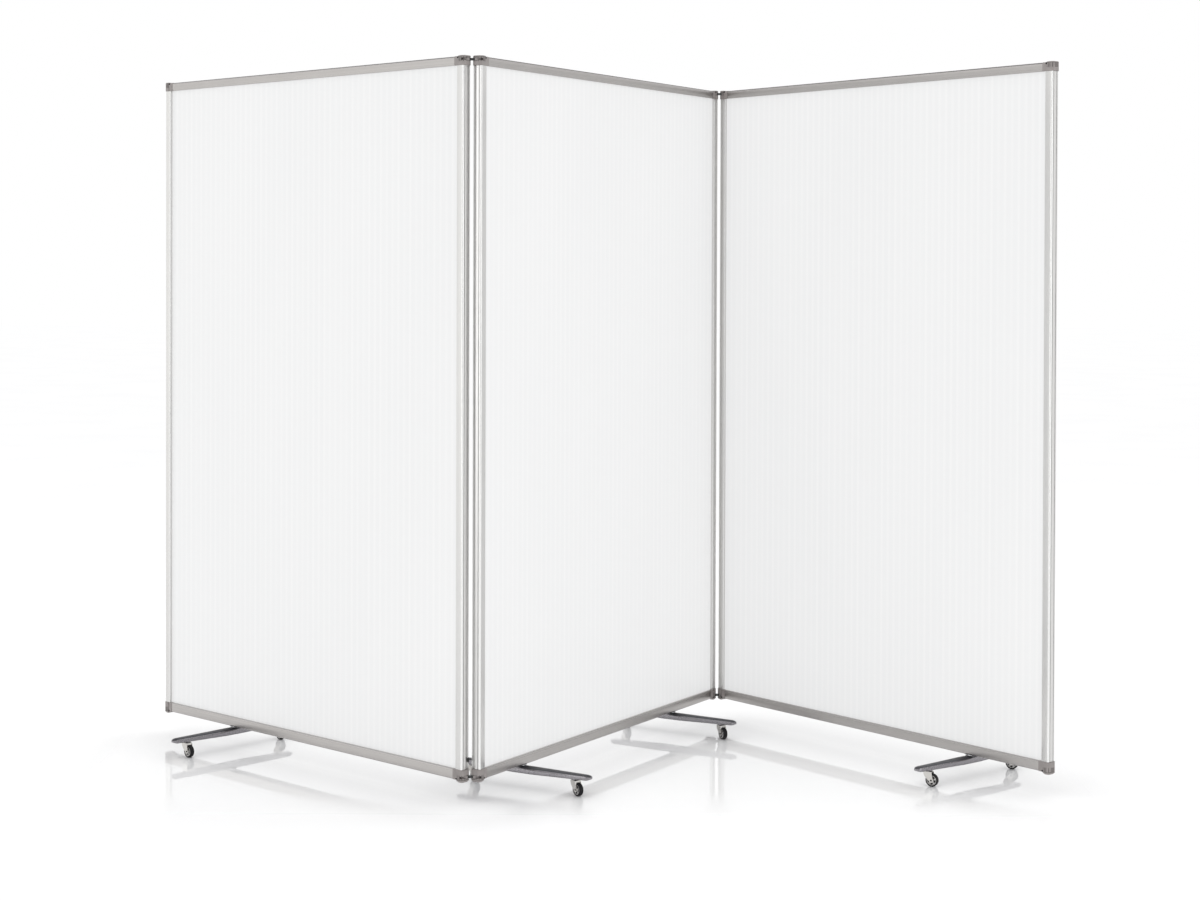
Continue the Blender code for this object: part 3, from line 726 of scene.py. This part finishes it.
def cap_mesh(name, face, up, opening):
    """A corner cap at the left end: x inward from the end plane, z = up * u.

    u runs from the rail's outer face towards the middle of the panel. A hinged
    cap has a slot for the link that opens at the end and on the side of
    opening, +1 or -1 in y, and is closed on the other side. 0: no slot.
    """
    d = FRAME_DEPTH / 2 + 0.6 * MM
    r = 3.6 * MM
    section = [(face, -d), (face, d)]
    section += arc(r - 0.6 * MM, d - r, r, 90, 180, 6)
    section += arc(r - 0.6 * MM, r - d, r, 180, 270, 6)
    block = prism([[(y, up * u) for u, y in section]], 4 * MM, CAP_LENGTH, along_x)

    def upright(outline, low, high, index=None):
        z0, z1 = sorted((up * low, up * high))
        bm = prism([outline], z0, z1)
        return bm if index is None else paint(bm, index)

    def knuckle(inset):
        k, n, reach = 14.3 * MM - inset, 8 * MM - inset * 0.6, 3 * MM - inset
        plan = [(16 * MM - inset, k)]
        plan += arc(n - reach, k - n, n, 90, 180, 10)
        plan += arc(n - reach, n - k, n, 180, 270, 10)
        return plan + [(16 * MM - inset, -k)]

    def rectangle(x0, x1, y0, y1):
        return [(x0, y0), (x1, y0), (x1, y1), (x0, y1)]

    outer = 14.3 * MM
    rise, drop = (1.1 * MM, 1.95 * MM) if up < 0 else (2.0 * MM, 5.2 * MM)
    steps = [("UNION", upright(knuckle(0), -rise, face - 0.02 * MM))]
    # the end of the knuckle: a low dome on top, a tapering foot below
    z0, z1 = up * (0.1 * MM - rise), up * -drop
    steps.append(
        ("UNION", loft(knuckle(0.7 * MM), knuckle((1.6 if up < 0 else 3.4) * MM), z0, z1))
    )
    # a shadow line round the knuckle, level with the rail's outer face, its faces dark with painted shade
    z0, z1 = sorted((up * 0.5 * MM, up * 1.4 * MM))
    ring = prism(
        [rectangle(-9 * MM, 15.9 * MM, -20 * MM, 20 * MM), knuckle(1.2 * MM)[::-1]], z0, z1
    )
    steps.append(("DIFFERENCE", paint(ring, 2)))
    # grip ribs round the outer half of the knuckle, their grooves in the shaded recess colour as painted
    # shade
    low, high = 2.2 * MM, 12.4 * MM
    wide, deep = 1.1 * MM, 1.1 * MM
    for side in (-1, 1):
        for x in (6.0 * MM, 10.6 * MM, 15.2 * MM):
            y0, y1 = sorted((side * (outer - deep), side * 16 * MM))
            steps.append(
                ("DIFFERENCE", upright(rectangle(x - wide, x + wide, y0, y1), low, high, 3))
            )
        # one on the rounded corner
        cx, cy = 5 * MM, side * (outer - 8 * MM)
        turn = Matrix.Translation((cx, cy, 0)) @ Matrix.Rotation(
            math.radians(180 - side * 45), 4, "Z"
        )
        cut = upright(rectangle(8 * MM - deep, 11 * MM, -wide, wide), low, high, 3)
        cut.transform(turn)
        steps.append(("DIFFERENCE", cut))
    # ribs across the end of the knuckle, also in painted shade
    for y in (-4.6 * MM, 0.0, 4.6 * MM):
        steps.append(
            (
                "DIFFERENCE",
                upright(rectangle(-8 * MM, deep - 3 * MM, y - wide, y + wide), low, high, 3),
            )
        )
    # shadow line down the shoulder, where the knuckle leaves the cap's arm
    steps.append(
        (
            "DIFFERENCE",
            upright(rectangle(16.0 * MM, 16.5 * MM, -20 * MM, -d + 0.35 * MM), -1 * MM, face + 1 * MM, 3),
        )
    )

    u0, u1, v = 2.6 * MM, face - 10.6 * MM, FRAME_DEPTH / 2 - 1.8 * MM
    clear = 0.5 * MM
    z0, z1 = sorted((up * (u0 + clear), up * (u1 - clear)))
    steps.append(
        ("UNION", box(CAP_LENGTH - 4 * MM, CAP_LENGTH + 12 * MM, clear - v, v - clear, z0, z1))
    )
    z0, z1 = sorted((up * (face - 3 * MM), up * (face + 12 * MM)))
    steps.append(
        ("UNION", box(2.6 * MM + clear, 11.4 * MM - clear, clear - v, v - clear, z0, z1))
    )
    g = SHEET_GROOVE_W / 2
    z0, z1 = sorted((up * (face - 9 * MM), up * (face + 1 * MM)))
    steps.append(("DIFFERENCE", box(FACE - 9 * MM, CAP_LENGTH + 1 * MM, -g, g, z0, z1)))
    # notches at the knuckle's inner edge, their faces dark with painted shade
    z0, z1 = sorted((-up * 6 * MM, up * 4.8 * MM))
    for side in (-1, 1):
        y0, y1 = sorted((side * 10.3 * MM, side * 20 * MM))
        steps.append(("DIFFERENCE", paint(box(16.0 * MM, 20.6 * MM, y0, y1, z0, z1), 2)))
    if opening:
        half = 5.5 * MM / 2 + 0.45 * MM
        end = PIVOT_INSET + 7.8 * MM
        plan = [
            (end, opening * 20 * MM),
            (-10 * MM, opening * 20 * MM),
            (-10 * MM, -opening * 20 * MM),
            (-1.2 * MM, -opening * 20 * MM),
            (end, -opening * 3.0 * MM),
        ]
        steps.append(("DIFFERENCE", upright(plan, 7.2 * MM - half, 7.2 * MM + half, 0)))
        pin = circle(PIVOT_INSET, 0, 3.4 * MM, 20)
        steps.append(("DIFFERENCE", upright(pin, -0.1 * MM, 14.5 * MM, 2)))
    return shaped(
        name, block, steps, ["cap", "cap_edge", "dark", "cap_recess"], bevel=0.3 * MM, edge=1
    )


def link_mesh():
    """A link: a black waisted bar between two grey eyes, with a pin in each."""
    r, s, t = 7.0 * MM, PIVOT_SPACING, 2.75 * MM
    plan = arc(0, 0, r, 90, 270, 24) + arc(s, 0, r, -90, 90, 24)
    plate = prism([plan], -t, t)
    steps = []
    for side in (-1, 1):
        steps.append(
            ("DIFFERENCE", prism([circle(s / 2, side * 17.0 * MM, 12 * MM, 48)], -9 * MM, 9 * MM))
        )
    for x in (0, s):
        steps.append(("UNION", prism([circle(x, 0, 3.0 * MM, 24)], -6.8 * MM, 6.8 * MM)))
        # upright ribs round each eye, in line with those of the knuckles
        for k in range(12):
            angle = math.radians(k * 30 + 15)
            cut = box(r - 0.7 * MM, r + 2 * MM, -0.75 * MM, 0.75 * MM, -9 * MM, 9 * MM)
            cut.transform(Matrix.Translation((x, 0, 0)) @ Matrix.Rotation(angle, 4, "Z"))
            if abs(x + (r - 0.7 * MM) * math.cos(angle) - s / 2) > 11.5 * MM:
                steps.append(("DIFFERENCE", cut))
    mesh = shaped(
        "hinge_link", plate, steps, ["link", "link_edge", "cap"], bevel=0.4 * MM, edge=1
    )
    for polygon in mesh.polygons:
        if abs(polygon.center.x - s / 2) > 10.5 * MM:
            polygon.material_index = 2
    return mesh


def leg_half(y):
    """Half width, low and high of a leg at y from its middle."""
    y = abs(y)
    t = min(1.0, max(0.0, (y - 30 * MM) / (158 * MM)))
    half = (30 - 9 * t) / 2 * MM
    low = (38 + 3.5 * t) * MM
    high = (56 - t) * MM
    if y > 188 * MM:
        k = min(1.0, (y - 188 * MM) / (15 * MM))
        half *= max(0.05, math.sqrt(max(0.0, 1 - k * k)))
        low += 4.2 * MM * k * k
        high -= 4.6 * MM * k * k
    return half, low, high


def leg_mesh():
    """A cross leg along y: crowned top, rounded nose, bosses for the casters."""
    stations = [0, 15, 30, 45, 60, 75, 90, 105, 120, 135, 148, 160, 172, 182, 188]
    stations += [191, 194, 196.5, 198.5, 200, 201.2, 202.1, 202.7, 203]
    rows = [-y for y in stations[:0:-1]] + stations
    bm = bmesh.new()
    rings = []
    for y in rows:
        half, low, high = leg_half(y * MM)
        crown = 1.6 * MM * half / (15 * MM)
        c = min(6.5 * MM, half * 0.62, (high - low) * 0.40)
        top = high - crown
        points = []
        # flat underside with small corners, upright sides, softly crowned top
        for px, pz in arc(half - c * 0.5, low + c * 0.5, c * 0.5, -90, 0, 3):
            points.append((px, pz))
        for px, pz in arc(half - c, top - c, c, 0, 78, 6):
            points.append((px, pz))
        for k in (0.5, 0.0, -0.5):
            px = k * (half - c)
            points.append((px, high - crown * (px / max(half, 1e-6)) ** 2 * 0.8))
        points += [(-px, pz) for px, pz in reversed(points[:10])]
        rings.append([bm.verts.new((px, y * MM, pz)) for px, pz in points])
    n = len(rings[0])
    for a, b in zip(rings, rings[1:]):
        for i in range(n):
            j = (i + 1) % n
            bm.faces.new((a[i], a[j], b[j], b[i]))
    bm.faces.new(rings[0])
    bm.faces.new(rings[-1][::-1])
    closed(bm)
    steps = []
    for side in (-1, 1):
        y = side * STEM_AT
        steps.append(
            (
                "UNION",
                lathe(
                    [(0.01 * MM, 38.6 * MM), (9.6 * MM, 38.6 * MM), (10.6 * MM, 39.4 * MM), (11 * MM, 40.4 * MM), (11 * MM, 46 * MM), (0.01 * MM, 46 * MM)],
                    48,
                    lambda a, b, h, y=y: (a, b + y, h),
                ),
            )
        )
        steps.append(("DIFFERENCE", prism([circle(0, y, 4.5 * MM, 24)], 30 * MM, 51 * MM)))
    steps.append(("DIFFERENCE", prism([circle(0, 0, 3.4 * MM, 24)], 30 * MM, 70 * MM)))
    steps.append(("DIFFERENCE", prism([circle(0, 0, 6.5 * MM, 32)], 30 * MM, 44 * MM)))
    # a moulded relief channel along the underside of each arm
    for side in (-1, 1):
        y0, y1 = sorted((side * 22 * MM, side * 128 * MM))
        steps.append(("DIFFERENCE", box(-5 * MM, 5 * MM, y0, y1, 30 * MM, 41.5 * MM)))
    mesh = shaped(
        "cross_leg",
        bm,
        steps,
        ["leg", "leg_edge", "leg_top"],
        bevel=0.5 * MM,
        limit=48,
        edge=1,
    )
    # painted shade: the upper faces, down to the middle of the shoulder, take a dark colour for the leg's
    # dark-looking top
    for polygon in mesh.polygons:
        if polygon.normal.z > 0.62 and polygon.center.z > 49 * MM:
            polygon.material_index = 2
    return mesh


def upright_xyz(a, b, h):
    return (a, b, h)


def spacer_mesh():
    """A turned spacer with chamfered rims and a shallow waist."""
    z0, z1 = 56.3 * MM, RAIL_BOTTOM - GAP
    profile = [
        (3.4 * MM, z0),
        (7.9 * MM, z0),
        (8.5 * MM, z0 + 0.5 * MM),
        (8.5 * MM, z0 + 1.2 * MM),
        (8.0 * MM, z0 + 1.5 * MM),
        (8.0 * MM, z1 - 1.5 * MM),
        (8.5 * MM, z1 - 1.2 * MM),
        (8.5 * MM, z1 - 0.5 * MM),
        (7.9 * MM, z1),
        (3.4 * MM, z1),
    ]
    return smooth(mesh_of(lathe(profile, 48, upright_xyz), "leg_spacer", ["steel"]), 30)


def bolt_mesh():
    """A socket-head bolt with a chamfered head and a threaded-looking shank."""
    head = prism([circle(0, 0, 5.5 * MM, 40)], 39.7 * MM, 43.7 * MM)
    socket = prism([circle(0, 0, 2.9 * MM, 6)], 39 * MM, 42.2 * MM)
    profile = [(0.01 * MM, 43 * MM)]
    z, top = 43.0, 70.0
    while z < top - 0.8:
        profile += [(2.75 * MM, z * MM), (3.0 * MM, (z + 0.4) * MM)]
        z += 0.8
    profile += [(2.4 * MM, top * MM), (0.01 * MM, top * MM)]
    shank = lathe(profile, 20, upright_xyz)
    return shaped(
        "leg_bolt",
        head,
        [("DIFFERENCE", socket), ("UNION", shank)],
        ["steel", "steel"],
        bevel=0.3 * MM,
        limit=60,
    )


def fork_mesh():
    """Caster fork: pressed crown, tapering cheeks, axle with domed heads."""
    out = 8.8 * MM
    inside = 7.0 * MM
    axle_z = 16.36 * MM
    plan = arc(-3.5 * MM, 2 * MM, out - 2 * MM, 90, 180, 10)
    plan += arc(-3.5 * MM, -2 * MM, out - 2 * MM, 180, 270, 10)
    plan += [(11.5 * MM, -out), (11.5 * MM, out)]
    crown = prism([plan], 35.6 * MM, 38.2 * MM)
    side = [(-9.8 * MM, 37.8 * MM), (-9.2 * MM, 33 * MM)]
    # the back edge sweeps in a hollow curve down to the axle boss
    for k in range(1, 8):
        a = k / 8
        side.append(
            (
                (-9.2 + (5.6 + 9.2) * (a ** 1.6)) * MM,
                (33 - (33 - 14.5) * a) * MM,
            )
        )
    side += arc(TRAIL, axle_z, 5.6 * MM, 205, 350, 14)
    side += [(14.6 * MM, 24 * MM), (13.4 * MM, 31 * MM), (11.6 * MM, 37.8 * MM)]
    steps = []
    for y0, y1 in ((-out, -inside), (inside, out)):
        steps.append(("UNION", prism([side], y0, y1, along_y)))
    # crown cup under the stem
    steps.append(
        (
            "UNION",
            lathe(
                [(0.01 * MM, 37 * MM), (7.6 * MM, 37 * MM), (7.6 * MM, 38.0 * MM), (6.6 * MM, 38.45 * MM), (0.01 * MM, 38.45 * MM)],
                40,
                upright_xyz,
            ),
        )
    )
    steps.append(("UNION", prism([circle(0, 0, 4 * MM, 24)], 37.5 * MM, 50 * MM)))
    body = shaped(
        "caster_fork", crown, steps, ["chrome", "chrome", "dark"], bevel=0.45 * MM, segments=3
    )
    axle = lathe(
        [
            (0.01 * MM, -10 * MM),
            (1.3 * MM, -9.9 * MM),
            (2.1 * MM, -9.5 * MM),
            (2.5 * MM, -8.85 * MM),
            (2.5 * MM, 8.85 * MM),
            (2.1 * MM, 9.5 * MM),
            (1.3 * MM, 9.9 * MM),
            (0.01 * MM, 10 * MM),
        ],
        32,
        lambda a, b, h: (a + TRAIL, h, b + axle_z),
    )
    bm = bmesh.new()
    bm.from_mesh(body)
    bpy.data.meshes.remove(body)
    paint(axle, 2)
    return smooth(mesh_of(join(bm, axle), "caster_fork", ["chrome", "chrome", "dark"]), 40)


def axle_xyz(a, b, h):
    return (a, h, b)


def wheel_mesh():
    """A rounded rubber tyre on a silver hub with five oval openings."""
    w = 6.3 * MM
    tyre = [(12.0 * MM, -4.9 * MM), (13.1 * MM, -5.9 * MM), (13.9 * MM, -w)]
    tyre += [
        (r, h)
        for h, r in arc(-w + 2.9 * MM, WHEEL_R - 2.9 * MM, 2.9 * MM, 180, 90, 8)
    ]
    tyre += [
        (r, h)
        for h, r in arc(w - 2.9 * MM, WHEEL_R - 2.9 * MM, 2.9 * MM, 90, 0, 8)
    ]
    tyre += [(13.9 * MM, w), (13.1 * MM, 5.9 * MM), (12.0 * MM, 4.9 * MM)]
    rubber = paint(lathe(tyre, 72, axle_xyz), 1)
    disc = lathe(
        [
            (3.0 * MM, -6.0 * MM),
            (4.6 * MM, -6.0 * MM),
            (5.1 * MM, -5.5 * MM),
            (5.4 * MM, -4.2 * MM),
            (10.9 * MM, -4.2 * MM),
            (11.4 * MM, -5.7 * MM),
            (12.6 * MM, -5.7 * MM),
            (12.9 * MM, -5.0 * MM),
            (12.9 * MM, 5.0 * MM),
            (12.6 * MM, 5.7 * MM),
            (11.4 * MM, 5.7 * MM),
            (10.9 * MM, 4.2 * MM),
            (5.4 * MM, 4.2 * MM),
            (5.1 * MM, 5.5 * MM),
            (4.6 * MM, 6.0 * MM),
            (3.0 * MM, 6.0 * MM),
        ],
        60,
        axle_xyz,
    )
    steps = []
    # the oval openings' walls take the dark slot: painted shade inside the holes
    for i in range(5):
        a = 2 * math.pi * (i + 0.25) / 5
        spin = Matrix.Rotation(a, 4, "Y")
        oval = prism([circle(8.1 * MM, 0, 2.1 * MM, 20, squash=1.6)], -5 * MM, -1.2 * MM, along_y)
        oval.transform(spin)
        steps.append(("DIFFERENCE", paint(oval, 2)))
        oval = prism([circle(8.1 * MM, 0, 2.1 * MM, 20, squash=1.6)], 1.2 * MM, 5 * MM, along_y)
        oval.transform(spin)
        steps.append(("DIFFERENCE", paint(oval, 2)))
    hub = shaped("wheel_hub", disc, steps, ["hub", "tyre", "dark"])
    bm = bmesh.new()
    bm.from_mesh(hub)
    bpy.data.meshes.remove(hub)
    return smooth(mesh_of(join(bm, rubber), "caster_wheel", ["hub", "tyre", "dark"]), 35)


def bumper_mesh():
    """A stadium-shaped rubber pad with a rounded rim."""
    half, r = 3.0 * MM, 3.0 * MM
    plan = arc(8 * MM, 107 * MM, r, 180, 360, 16) + arc(8 * MM, 113 * MM, r, 0, 180, 16)
    pad = prism([plan], 0.3 * MM, 3.3 * MM, along_x)
    return shaped("hinge_bumper", pad, [], ["bumper", "bumper"], bevel=1.0 * MM, segments=4)


# ---- assembly -------------------------------------------------------------
STILE_LENGTH = RAIL_TOP - FACE - RAIL_BOTTOM - FACE_BOTTOM - 2 * GAP
RAIL_LENGTH = PANEL_W - 2 * (CAP_LENGTH + GAP)
STILE_SLOTS = ["stile", "stile_edge", "stile_groove"]
RAIL_SLOTS = ["rail", "rail_edge", "rail_groove"]
STILE = extrusion("stile", FACE, STILE_LENGTH, lambda u, v, t: (u, v, t), STILE_SLOTS)
TOP_RAIL = extrusion(
    "top_rail", FACE, RAIL_LENGTH, lambda u, v, t: (t, v, -u), RAIL_SLOTS
)
BOTTOM_RAIL = extrusion(
    "bottom_rail", FACE_BOTTOM, RAIL_LENGTH, lambda u, v, t: (t, v, u), RAIL_SLOTS
)
SHEET = sheet_mesh(
    PANEL_W - 2 * FACE + 2 * SHEET_INSERT,
    RAIL_TOP - FACE - RAIL_BOTTOM - FACE_BOTTOM + 2 * SHEET_INSERT,
)
CAPS = {
    (level, opening): cap_mesh(f"cap_{level}_{opening + 1}", face, up, opening)
    for level, face, up in (("top", FACE, -1), ("bottom", FACE_BOTTOM, 1))
    for opening in (-1, 0, 1)
}
LINK = link_mesh()
LEG = leg_mesh()
SPACER = spacer_mesh()
BOLT = bolt_mesh()
FORK = fork_mesh()
WHEEL = wheel_mesh()


def shift(x, y, z, turn=0.0):
    return Matrix.Translation((x, y, z)) @ Matrix.Rotation(turn, 4, "Z")


# the side of each hinged cap, in its own y, on which its link slot opens
OPENING = {
    "left_panel": {"left": 0, "right": -1},
    "middle_panel": {"left": 1, "right": 1},
    "right_panel": {"left": -1, "right": 0},
}
for panel, base in PANELS.items():
    z = RAIL_BOTTOM + FACE_BOTTOM
    place(
        f"{panel}_sheet",
        SHEET,
        base @ shift(PANEL_W / 2, 0, z - SHEET_INSERT),
    )
    place(f"{panel}_left_stile", STILE, base @ shift(0, 0, z + GAP))
    place(
        f"{panel}_right_stile",
        STILE,
        base @ shift(PANEL_W, 0, z + GAP, math.pi),
    )
    x = CAP_LENGTH + GAP
    place(f"{panel}_top_rail", TOP_RAIL, base @ shift(x, 0, RAIL_TOP))
    place(
        f"{panel}_bottom_rail", BOTTOM_RAIL, base @ shift(x, 0, RAIL_BOTTOM)
    )
    for end, x, turn in (("left", 0, 0.0), ("right", PANEL_W, math.pi)):
        for level, height in (("top", RAIL_TOP), ("bottom", RAIL_BOTTOM)):
            place(
                f"{panel}_cap_{level}_{end}",
                CAPS[level, OPENING[panel][end]],
                base @ shift(x, 0, height, turn),
            )

for leg in LEGS:
    front, back = (flat(JOINTS[f"{leg}_{row}_swivel"]) for row in ("front", "back"))
    across = back - front
    base = plan_frame((front + back) / 2, Vector((across.y, -across.x, 0)))
    place(leg, LEG, base)
    place(f"{leg}_spacer", SPACER, base)
    place(f"{leg}_bolt", BOLT, base)
    for row in ("front", "back"):
        stem = JOINTS[f"{leg}_{row}_swivel"]
        axle = JOINTS[f"{leg}_{row}_roll"]
        fork = plan_frame(flat(stem), flat(axle) - flat(stem))
        place(f"{leg}_{row}_fork", FORK, fork)
        place(
            f"{leg}_{row}_wheel",
            WHEEL,
            fork @ shift(TRAIL, 0, axle.z),
        )

for side, inner, outer in (
    ("left", left_inner, left_outer),
    ("right", right_inner, right_outer),
):
    for level in ("top", "bottom"):
        node = f"{side}_hinge_{level}_link"
        low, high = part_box(node)
        base = plan_frame(inner, outer - inner)
        place(node, LINK, base @ shift(0, 0, (low.z + high.z) / 2))

place(
    "hinge_bumper",
    bumper_mesh(),
    PANELS["left_panel"] @ shift(PANEL_W, 0, 0),
)


# ---- floor, light and camera ----------------------------------------------
def emitter(name, colour, strength):
    mat = bpy.data.materials.new(name)
    mat.use_nodes = True
    tree = mat.node_tree
    tree.nodes.clear()
    glow = tree.nodes.new("ShaderNodeEmission")
    glow.inputs["Color"].default_value = (*colour, 1.0)
    glow.inputs["Strength"].default_value = strength
    out = tree.nodes.new("ShaderNodeOutputMaterial")
    tree.links.new(glow.outputs["Emission"], out.inputs["Surface"])
    return mat


def floor_material():
    """White polished floor, glossier around the divider than in front of it, with painted contact shade
    near the divider and a faint even glow.
    """
    n = Nodes("studio_floor", IOR=1.5, **{"Emission Strength": 0.05})
    cloud = n.noise((1.5, 1.5, 1.5), 3.0)
    tone = n.ramp(cloud, (0.3, (0.94, 0.94, 0.945)), (0.7, (0.96, 0.96, 0.96)))
    # painted contact shade: an ambient-occlusion mask darkens the floor's colour and glow near and under
    # the divider
    near = n.node("AmbientOcclusion", samples=8)
    near.inputs["Distance"].default_value = 0.30
    shade = n.ramp(near.outputs["AO"], (0.40, (0.70, 0.70, 0.71)), (0.95, (1.0, 1.0, 1.0)))
    n.out("Base Color", n.mix(1.0, tone, shade, "MULTIPLY"))
    n.out("Emission Color", n.mix(1.0, tone, shade, "MULTIPLY"))
    separate = n.node("SeparateXYZ")
    n.link(n.coord, separate.inputs["Vector"])
    n.out("Roughness", n.range(separate.outputs["Y"], 0.5, 0.045, -0.85, -0.38))
    front = n.range(separate.outputs["Y"], 0.0, 1.0, -0.80, -0.35)
    back = n.range(separate.outputs["Y"], 1.0, 0.0, 0.45, 0.80)
    side = n.range(n.math("ABSOLUTE", separate.outputs["X"]), 1.0, 0.0, 1.05, 1.28)
    around = n.math("MULTIPLY", front, n.math("MULTIPLY", back, side))
    n.out("Specular IOR Level", around)
    return n.mat


bm = bmesh.new()
bmesh.ops.create_circle(bm, cap_ends=True, segments=96, radius=45.0)
floor = bpy.data.objects.new("studio_floor", bpy.data.meshes.new("studio_floor"))
bm.to_mesh(floor.data)
bm.free()
floor.data.materials.append(floor_material())
scene.collection.objects.link(floor)


def card(name, centre, size, aim, mat):
    """A card that only shows in reflections."""
    bm = bmesh.new()
    w, h = size[0] / 2, size[1] / 2
    bm.faces.new([bm.verts.new(p) for p in ((-w, -h, 0), (w, -h, 0), (w, h, 0), (-w, h, 0))])
    obj = bpy.data.objects.new(name, bpy.data.meshes.new(name))
    bm.to_mesh(obj.data)
    bm.free()
    obj.data.materials.append(mat)
    scene.collection.objects.link(obj)
    direction = Vector(aim) - Vector(centre)
    obj.matrix_world = Matrix.LocRotScale(
        Vector(centre), direction.to_track_quat("-Z", "Y"), None
    )
    obj.visible_camera = False
    obj.visible_diffuse = False
    obj.visible_shadow = False
    obj.visible_transmission = False
    obj.visible_volume_scatter = False
    return obj


black = emitter("card_black", (0.02, 0.02, 0.022), 1.0)
grey = emitter("card_grey", (0.42, 0.41, 0.42), 1.0)
pale = emitter("card_pale", (1.0, 1.0, 0.99), 1.18)
bright = emitter("card_bright", (1.0, 1.0, 1.0), 2.6)
card("card_ceiling", (0, 0, 4.6), (11.0, 11.0), (0, 0, 0), grey)
card("card_front_left", (-3.0, -5.4, 1.2), (0.9, 5.0), (0, 0, 1.0), black)
card("card_front_right", (3.0, -5.4, 1.2), (0.9, 5.0), (0, 0, 1.0), black)
card("card_side", (-5.0, -0.25, 1.4), (2.5, 4.0), (0, -0.25, 1.4), pale)
card("card_left", (-4.6, -2.6, 1.4), (1.0, 3.6), (0, 0, 1.0), bright)
card("card_right", (4.6, -2.6, 1.4), (1.0, 3.6), (0, 0, 1.0), bright)

world = bpy.data.worlds.new("studio")
scene.world = world
world.use_nodes = True
backdrop = world.node_tree.nodes["Background"]
backdrop.inputs["Color"].default_value = (1, 1, 1, 1)
backdrop.inputs["Strength"].default_value = 1.0


def softbox(name, where, aim, size, power, glossy=True):
    data = bpy.data.lights.new(name, "AREA")
    data.shape = "RECTANGLE"
    data.size, data.size_y = size
    data.energy = power
    obj = bpy.data.objects.new(name, data)
    scene.collection.objects.link(obj)
    direction = Vector(aim) - Vector(where)
    obj.matrix_world = Matrix.LocRotScale(
        Vector(where), direction.to_track_quat("-Z", "Y"), None
    )
    obj.visible_camera = False
    obj.visible_glossy = glossy
    return obj


softbox("softbox_valley", (0.42, -1.25, 0.95), (0.40, 0.5, 0.95), (0.5, 1.7), 1.5, False)
softbox("softbox_top", (0, 0.4, 5.0), (0, 0.2, 0.0), (3.2, 2.4), 30, False)

scene.view_settings.view_transform = "Standard"
scene.view_settings.look = "None"

FOCAL_PX, CENTRE_X, CENTRE_Y = 2175.8, 600.0, 295.1
camera_data = bpy.data.cameras.new("camera")
camera_data.sensor_fit = "HORIZONTAL"
camera_data.sensor_width = 36.0
camera_data.lens = 36.0 * FOCAL_PX / 1200.0
camera_data.shift_x = 0.0
camera_data.shift_y = -(450.0 - CENTRE_Y) / 1200.0
camera_data.clip_start = 0.1
camera_data.clip_end = 200.0
camera = bpy.data.objects.new("camera", camera_data)
scene.collection.objects.link(camera)
camera.location = (0.0427, -5.8269, 1.3128)
camera.rotation_euler = (
    Matrix.Rotation(math.radians(90 - 0.70), 3, "X")
    @ Matrix.Rotation(math.radians(0.186), 3, "Z")
).to_euler()
scene.camera = camera
